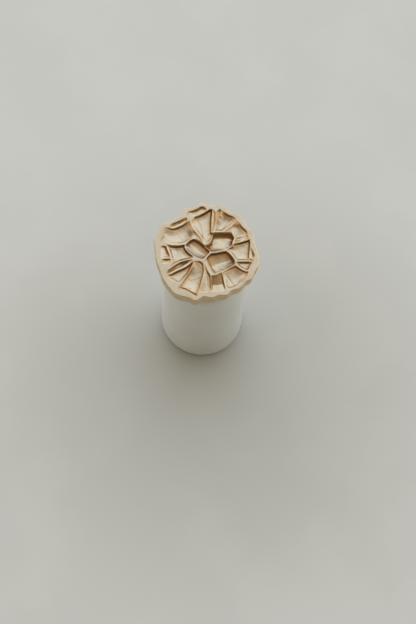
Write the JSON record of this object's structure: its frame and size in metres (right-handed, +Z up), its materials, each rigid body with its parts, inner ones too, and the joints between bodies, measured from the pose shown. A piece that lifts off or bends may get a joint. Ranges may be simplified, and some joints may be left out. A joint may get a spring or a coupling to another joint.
{
  "type": "wax seal stamp",
  "caption": "Hand stamp for sealing wax: an engraved brass flower die with a scalloped edge, on a turned boss whose stud screws into a smooth tapered handle.",
  "frame": {"origin": "centre of the handle's flat butt, which the stamp stands on", "axes": "+Z up along the handle to the engraved face, which looks up; -Y is the side the picture looks from, +X to its right"},
  "size_m": [0.0255, 0.0255, 0.0475],
  "materials": {
    "die_brass": "satin blasted, engraved",
    "turned_brass": "satin turned",
    "stud_steel": "zinc plated",
    "washer_fibre": "matt fibre",
    "handle_lacquer": "satin lacquer over turned wood"
  },
  "bodies": {
    "handle": {"handle_body": "handle_lacquer", "threaded_insert": "turned_brass"},
    "washer": {"captive_washer": "washer_fibre"},
    "head": {"seal_die": "die_brass", "die_boss": "turned_brass", "threaded_stud": "stud_steel"}
  },
  "joints": [
    {"name": "head_lift", "type": "slide", "parent": "handle", "child": "washer", "axis": [0, 0, 1], "range_m": [0, 0.0105]},
    {"name": "head_turn", "type": "hinge", "parent": "washer", "child": "head", "pos_m": [0, 0, 0.0392], "axis": [0, 0, 1], "range_deg": [0, 3780]}
  ],
  "couplings": [
    {"joint": "head_lift", "follows": "head_turn", "m_per_rad": 0.00015915}
  ]
}
